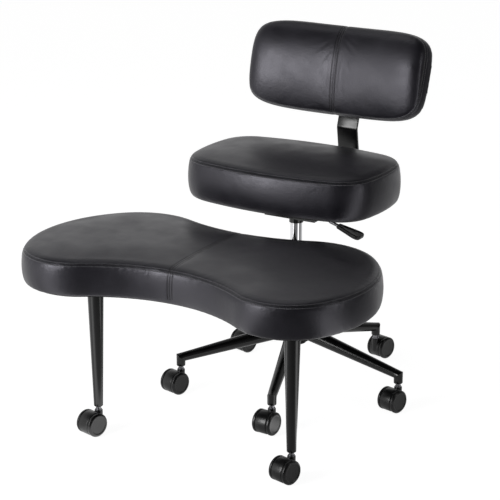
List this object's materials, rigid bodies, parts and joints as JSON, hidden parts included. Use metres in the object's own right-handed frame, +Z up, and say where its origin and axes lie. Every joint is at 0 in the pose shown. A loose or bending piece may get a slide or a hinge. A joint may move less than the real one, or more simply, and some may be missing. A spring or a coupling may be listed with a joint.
{
  "type": "cross-legged office chair",
  "caption": "Swivel chair with a padded seat and lumbar backrest on a gas lift, and a kidney-shaped padded footrest that turns round the column on its own caster legs.",
  "frame": {"origin": "on the floor under the column's axis", "axes": "+Z up, the footrest in front along -Y, the height lever on +X"},
  "size_m": [0.7572, 0.8686, 0.7758],
  "materials": {
    "leather": "satin grained",
    "black_steel": "gloss powder coat",
    "chrome": "polished",
    "steel": "zinc plated",
    "caster_plastic": "satin",
    "wheel_plastic": "satin",
    "black_plastic": "matt",
    "plywood": "raw plywood"
  },
  "bodies": {
    "base": {"base_hub": "black_steel", "base_arms": "black_steel", "column_tube": "black_steel", "column_bush": "black_plastic", "ring_collar": "black_steel", "thrust_bearing": "steel"},
    "lift_rod": {"piston_rod": "steel"},
    "seat": {"pressure_tube": "chrome", "socket_tube": "black_steel", "seat_plate": "black_steel", "seat_board": "plywood", "seat_cushion": "leather", "seat_bolts": "steel", "lever_pin": "steel", "back_bar": "black_steel", "back_bracket": "black_steel", "back_board": "plywood", "back_cushion": "leather", "back_fasteners": "steel"},
    "release_pin": {"release_pin": "steel"},
    "lever": {"lever_rod": "steel", "lever_paddle": "black_plastic"},
    "footrest": {"footrest_ring": "black_steel", "ring_bush": "black_plastic", "footrest_arm": "black_steel", "footrest_plate": "black_steel", "footrest_board": "plywood", "footrest_cushion": "leather", "leg_left": "black_steel", "leg_right": "black_steel", "leg_plates": "black_steel", "footrest_screws": "steel"},
    "caster_a": {"caster_a_hood": "caster_plastic", "caster_a_pins": "steel"},
    "caster_a_wheel_left": {"caster_a_wheel_left": "wheel_plastic"},
    "caster_a_wheel_right": {"caster_a_wheel_right": "wheel_plastic"},
    "caster_b": {"caster_b_hood": "caster_plastic", "caster_b_pins": "steel"},
    "caster_b_wheel_left": {"caster_b_wheel_left": "wheel_plastic"},
    "caster_b_wheel_right": {"caster_b_wheel_right": "wheel_plastic"},
    "caster_c": {"caster_c_hood": "caster_plastic", "caster_c_pins": "steel"},
    "caster_c_wheel_left": {"caster_c_wheel_left": "wheel_plastic"},
    "caster_c_wheel_right": {"caster_c_wheel_right": "wheel_plastic"},
    "caster_d": {"caster_d_hood": "caster_plastic", "caster_d_pins": "steel"},
    "caster_d_wheel_left": {"caster_d_wheel_left": "wheel_plastic"},
    "caster_d_wheel_right": {"caster_d_wheel_right": "wheel_plastic"},
    "caster_e": {"caster_e_hood": "caster_plastic", "caster_e_pins": "steel"},
    "caster_e_wheel_left": {"caster_e_wheel_left": "wheel_plastic"},
    "caster_e_wheel_right": {"caster_e_wheel_right": "wheel_plastic"},
    "caster_left": {"caster_left_hood": "caster_plastic", "caster_left_pins": "steel"},
    "caster_left_wheel_left": {"caster_left_wheel_left": "wheel_plastic"},
    "caster_left_wheel_right": {"caster_left_wheel_right": "wheel_plastic"},
    "caster_right": {"caster_right_hood": "caster_plastic", "caster_right_pins": "steel"},
    "caster_right_wheel_left": {"caster_right_wheel_left": "wheel_plastic"},
    "caster_right_wheel_right": {"caster_right_wheel_right": "wheel_plastic"}
  },
  "joints": [
    {"name": "seat_swivel", "type": "hinge", "parent": "base", "child": "lift_rod", "pos_m": [0, 0, 0.2], "axis": [0, 0, 1], "continuous": true},
    {"name": "seat_lift", "type": "slide", "parent": "lift_rod", "child": "seat", "axis": [0, 0, 1], "range_m": [0, 0.1]},
    {"name": "lever_tip", "type": "hinge", "parent": "seat", "child": "lever", "pos_m": [0.024, 0, 0.421], "axis": [0, -1, 0], "range_deg": [0, 6.8], "stiffness_Nm_per_rad": 2},
    {"name": "pin_press", "type": "slide", "parent": "seat", "child": "release_pin", "axis": [0, 0, -1], "range_m": [0, 0.0034]},
    {"name": "footrest_turn", "type": "hinge", "parent": "base", "child": "footrest", "pos_m": [0, 0, 0.3], "axis": [0, 0, 1], "continuous": true},
    {"name": "caster_a_swivel", "type": "hinge", "parent": "base", "child": "caster_a", "pos_m": [0.2525, 0, 0.06], "axis": [0, 0, 1], "continuous": true},
    {"name": "caster_a_wheel_left_spin", "type": "hinge", "parent": "caster_a", "child": "caster_a_wheel_left", "pos_m": [0.24758, -0.01835, 0.025], "axis": [0.9659, -0.2588, 0], "continuous": true},
    {"name": "caster_a_wheel_right_spin", "type": "hinge", "parent": "caster_a", "child": "caster_a_wheel_right", "pos_m": [0.24758, -0.01835, 0.025], "axis": [0.9659, -0.2588, 0], "continuous": true},
    {"name": "caster_b_swivel", "type": "hinge", "parent": "base", "child": "caster_b", "pos_m": [0.07803, 0.24014, 0.06], "axis": [0, 0, 1], "continuous": true},
    {"name": "caster_b_wheel_left_spin", "type": "hinge", "parent": "caster_b", "child": "caster_b_wheel_left", "pos_m": [0.08294, 0.25849, 0.025], "axis": [-0.9659, 0.2588, 0], "continuous": true},
    {"name": "caster_b_wheel_right_spin", "type": "hinge", "parent": "caster_b", "child": "caster_b_wheel_right", "pos_m": [0.08294, 0.25849, 0.025], "axis": [-0.9659, 0.2588, 0], "continuous": true},
    {"name": "caster_c_swivel", "type": "hinge", "parent": "base", "child": "caster_c", "pos_m": [-0.20428, 0.14842, 0.06], "axis": [0, 0, 1], "continuous": true},
    {"name": "caster_c_wheel_left_spin", "type": "hinge", "parent": "caster_c", "child": "caster_c_wheel_left", "pos_m": [-0.20919, 0.13006, 0.025], "axis": [0.9659, -0.2588, 0], "continuous": true},
    {"name": "caster_c_wheel_right_spin", "type": "hinge", "parent": "caster_c", "child": "caster_c_wheel_right", "pos_m": [-0.20919, 0.13006, 0.025], "axis": [0.9659, -0.2588, 0], "continuous": true},
    {"name": "caster_d_swivel", "type": "hinge", "parent": "base", "child": "caster_d", "pos_m": [-0.20428, -0.14842, 0.06], "axis": [0, 0, 1], "continuous": true},
    {"name": "caster_d_wheel_left_spin", "type": "hinge", "parent": "caster_d", "child": "caster_d_wheel_left", "pos_m": [-0.20919, -0.16677, 0.025], "axis": [0.9659, -0.2588, 0], "continuous": true},
    {"name": "caster_d_wheel_right_spin", "type": "hinge", "parent": "caster_d", "child": "caster_d_wheel_right", "pos_m": [-0.20919, -0.16677, 0.025], "axis": [0.9659, -0.2588, 0], "continuous": true},
    {"name": "caster_e_swivel", "type": "hinge", "parent": "base", "child": "caster_e", "pos_m": [0.07803, -0.24014, 0.06], "axis": [0, 0, 1], "continuous": true},
    {"name": "caster_e_wheel_left_spin", "type": "hinge", "parent": "caster_e", "child": "caster_e_wheel_left", "pos_m": [0.07637, -0.25907, 0.025], "axis": [0.9962, -0.0872, 0], "continuous": true},
    {"name": "caster_e_wheel_right_spin", "type": "hinge", "parent": "caster_e", "child": "caster_e_wheel_right", "pos_m": [0.07637, -0.25907, 0.025], "axis": [0.9962, -0.0872, 0], "continuous": true},
    {"name": "caster_left_swivel", "type": "hinge", "parent": "footrest", "child": "caster_left", "pos_m": [-0.2296, -0.428, 0.06], "axis": [0, 0, 1], "continuous": true},
    {"name": "caster_left_wheel_left_spin", "type": "hinge", "parent": "caster_left", "child": "caster_left_wheel_left", "pos_m": [-0.23452, -0.44635, 0.025], "axis": [0.9659, -0.2588, 0], "continuous": true},
    {"name": "caster_left_wheel_right_spin", "type": "hinge", "parent": "caster_left", "child": "caster_left_wheel_right", "pos_m": [-0.23452, -0.44635, 0.025], "axis": [0.9659, -0.2588, 0], "continuous": true},
    {"name": "caster_right_swivel", "type": "hinge", "parent": "footrest", "child": "caster_right", "pos_m": [0.2296, -0.428, 0.06], "axis": [0, 0, 1], "continuous": true},
    {"name": "caster_right_wheel_left_spin", "type": "hinge", "parent": "caster_right", "child": "caster_right_wheel_left", "pos_m": [0.22468, -0.44635, 0.025], "axis": [0.9659, -0.2588, 0], "continuous": true},
    {"name": "caster_right_wheel_right_spin", "type": "hinge", "parent": "caster_right", "child": "caster_right_wheel_right", "pos_m": [0.22468, -0.44635, 0.025], "axis": [0.9659, -0.2588, 0], "continuous": true}
  ],
  "couplings": [
    {"joint": "pin_press", "follows": "lever_tip", "m_per_rad": 0.028}
  ]
}
